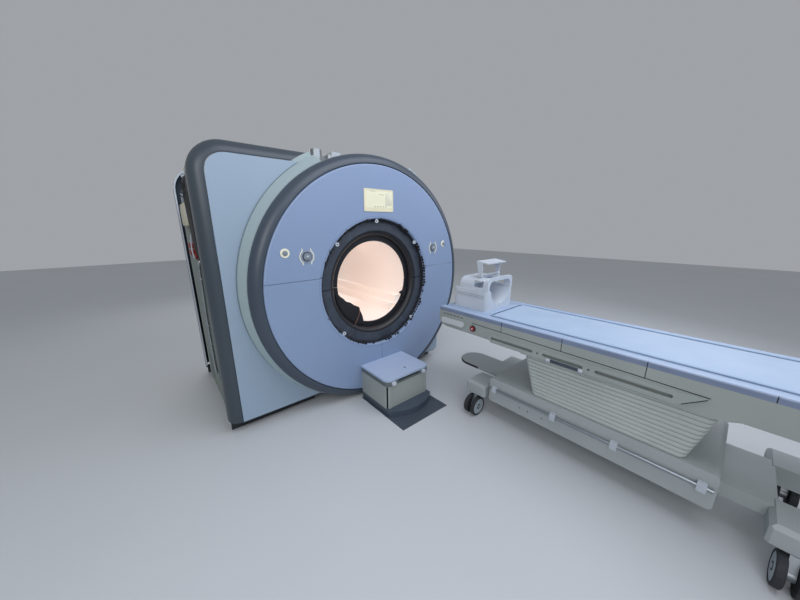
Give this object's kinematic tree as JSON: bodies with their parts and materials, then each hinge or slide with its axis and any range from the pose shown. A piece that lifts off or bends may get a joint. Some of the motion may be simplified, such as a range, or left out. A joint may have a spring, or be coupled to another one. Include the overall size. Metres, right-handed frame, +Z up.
{
  "type": "mri scanner",
  "caption": "Wide-bore scanner with round face cover, open service side, docking station and a wheeled patient table that carries a head coil.",
  "frame": {"origin": "on the floor, straight below the isocentre, in the middle of the four floor anchor holes", "axes": "+Y into the bore from the front, along the patient table; +X to the right seen from the front; +Z up"},
  "size_m": [2.426, 4.258, 2.175],
  "materials": {
    "cover_blue": "satin moulded cover",
    "cover_grey": "satin moulded cover",
    "border_dark": "satin moulded cover, dark grey",
    "collar": "satin moulded cover, light grey green",
    "charcoal": "matt charcoal moulding",
    "foam": "black open foam",
    "liner": "smooth off-white glass fibre tube",
    "white_plastic": "white moulding",
    "white_paint": "white powder coat",
    "beige": "light warm grey coat",
    "band": "grey green moulding",
    "lid": "light blue grey moulding",
    "step": "blue grey ribbed step",
    "floor_dark": "dark plate",
    "vessel_steel": "light grey paint on stainless steel",
    "epoxy": "cast resin",
    "rack_metal": "grey coated steel",
    "cabinet": "green grey coated steel",
    "cream": "cream coated steel",
    "pipe": "grey lagged pipe",
    "coupling": "red and orange fittings",
    "cable": "black sheath",
    "turret": "brushed",
    "bezel": "cream moulding",
    "screen": "pale display window",
    "knob": "grey knob",
    "strip": "violet grey edge profile",
    "steel": "brushed",
    "tyre": "dark tread with a pale hub",
    "bellows": "grey folded skin",
    "board": "smooth white laminate",
    "mattress": "wipeable pale blue cover",
    "red": "red knob"
  },
  "bodies": {
    "magnet": {"cryostat": "vessel_steel", "gradient_coil": "epoxy", "bore_liner": "liner", "bore_rails": "liner", "end_rings": "charcoal", "acoustic_seal": "foam", "funnel_clips": "white_plastic", "face_upper": "cover_blue", "face_lower_left": "cover_blue", "face_lower_right": "cover_blue", "face_rim": "border_dark", "collars": "collar", "wing_panels": "cover_grey", "wing_frame": "border_dark", "plinths": "charcoal", "rear_frame": "border_dark", "rear_panel": "cover_grey", "service_rack": "rack_metal", "lower_cabinet": "cabinet", "filter_boxes": "cream", "cooling_pipes": "pipe", "hose_couplings": "coupling", "cable_bundle": "cable", "turret": "turret", "display_bezel": "bezel", "display_screen": "screen", "control_bezels": "bezel", "dock_box": "beige", "dock_band": "band", "dock_buffers": "white_plastic", "dock_lid": "lid", "dock_step": "step", "floor_plate": "floor_dark"},
    "jog_left": {"jog_dial_left": "knob"},
    "jog_right": {"jog_dial_right": "knob"},
    "stop_left": {"stop_button_left": "knob"},
    "stop_right": {"stop_button_right": "knob"},
    "trolley": {"trolley_base": "beige", "docking_nose": "steel", "side_rails": "steel", "bellows": "bellows"},
    "tabletop": {"lift_inner": "steel", "table_frame": "beige", "side_fascias": "white_plastic", "edge_strips": "strip"},
    "patient_board": {"board": "board", "mattress": "mattress", "coil_base": "white_plastic", "coil_top": "white_plastic"},
    "mirror": {"coil_mirror": "white_plastic"},
    "table_stop": {"table_stop_button": "red"},
    "caster_front_left": {"caster_fork_front_left": "steel"},
    "wheels_front_left": {"caster_wheels_front_left": "tyre"},
    "caster_front_right": {"caster_fork_front_right": "steel"},
    "wheels_front_right": {"caster_wheels_front_right": "tyre"},
    "caster_rear_left": {"caster_fork_rear_left": "steel"},
    "wheels_rear_left": {"caster_wheels_rear_left": "tyre"},
    "caster_rear_right": {"caster_fork_rear_right": "steel"},
    "wheels_rear_right": {"caster_wheels_rear_right": "tyre"}
  },
  "joints": [
    {"name": "jog_left_turn", "type": "hinge", "parent": "magnet", "child": "jog_left", "pos_m": [-0.625, -0.8, 1.256], "axis": [0, 1, 0], "continuous": true},
    {"name": "stop_left_push", "type": "slide", "parent": "magnet", "child": "stop_left", "axis": [0, 1, 0], "range_m": [0, 0.004], "stiffness_N_per_m": 1500, "springref_m": -0.002},
    {"name": "jog_right_turn", "type": "hinge", "parent": "magnet", "child": "jog_right", "pos_m": [0.625, -0.8, 1.256], "axis": [0, 1, 0], "continuous": true},
    {"name": "stop_right_push", "type": "slide", "parent": "magnet", "child": "stop_right", "axis": [0, 1, 0], "range_m": [0, 0.004], "stiffness_N_per_m": 1500, "springref_m": -0.002},
    {"name": "trolley_roll", "type": "slide", "parent": "magnet", "child": "trolley", "axis": [1, 0, 0], "range_m": [-0.675, 0]},
    {"name": "swivel_front_left", "type": "hinge", "parent": "trolley", "child": "caster_front_left", "pos_m": [0.385, -1.57, 0.2], "axis": [0, 0, 1], "continuous": true},
    {"name": "roll_front_left", "type": "hinge", "parent": "caster_front_left", "child": "wheels_front_left", "pos_m": [0.335, -1.57, 0.075], "axis": [0, 1, 0], "continuous": true},
    {"name": "swivel_front_right", "type": "hinge", "parent": "trolley", "child": "caster_front_right", "pos_m": [0.965, -1.57, 0.2], "axis": [0, 0, 1], "continuous": true},
    {"name": "roll_front_right", "type": "hinge", "parent": "caster_front_right", "child": "wheels_front_right", "pos_m": [0.915, -1.57, 0.075], "axis": [0, 1, 0], "continuous": true},
    {"name": "swivel_rear_left", "type": "hinge", "parent": "trolley", "child": "caster_rear_left", "pos_m": [0.385, -3.11, 0.2], "axis": [0, 0, 1], "continuous": true},
    {"name": "roll_rear_left", "type": "hinge", "parent": "caster_rear_left", "child": "wheels_rear_left", "pos_m": [0.335, -3.11, 0.075], "axis": [0, 1, 0], "continuous": true},
    {"name": "swivel_rear_right", "type": "hinge", "parent": "trolley", "child": "caster_rear_right", "pos_m": [0.965, -3.11, 0.2], "axis": [0, 0, 1], "continuous": true},
    {"name": "roll_rear_right", "type": "hinge", "parent": "caster_rear_right", "child": "wheels_rear_right", "pos_m": [0.915, -3.11, 0.075], "axis": [0, 1, 0], "continuous": true},
    {"name": "table_lift", "type": "slide", "parent": "trolley", "child": "tabletop", "axis": [0, 0, 1], "range_m": [-0.2, 0], "deforming": ["bellows"]},
    {"name": "board_slide", "type": "slide", "parent": "tabletop", "child": "patient_board", "axis": [0, 1, 0], "range_m": [0, 0.33]},
    {"name": "mirror_tilt", "type": "hinge", "parent": "patient_board", "child": "mirror", "pos_m": [0.675, -1.41, 1.07], "axis": [1, 0, 0], "range_deg": [-20, 40]},
    {"name": "table_stop_push", "type": "slide", "parent": "tabletop", "child": "table_stop", "axis": [1, 0, 0], "range_m": [0, 0.004], "stiffness_N_per_m": 1200, "springref_m": -0.002}
  ]
}
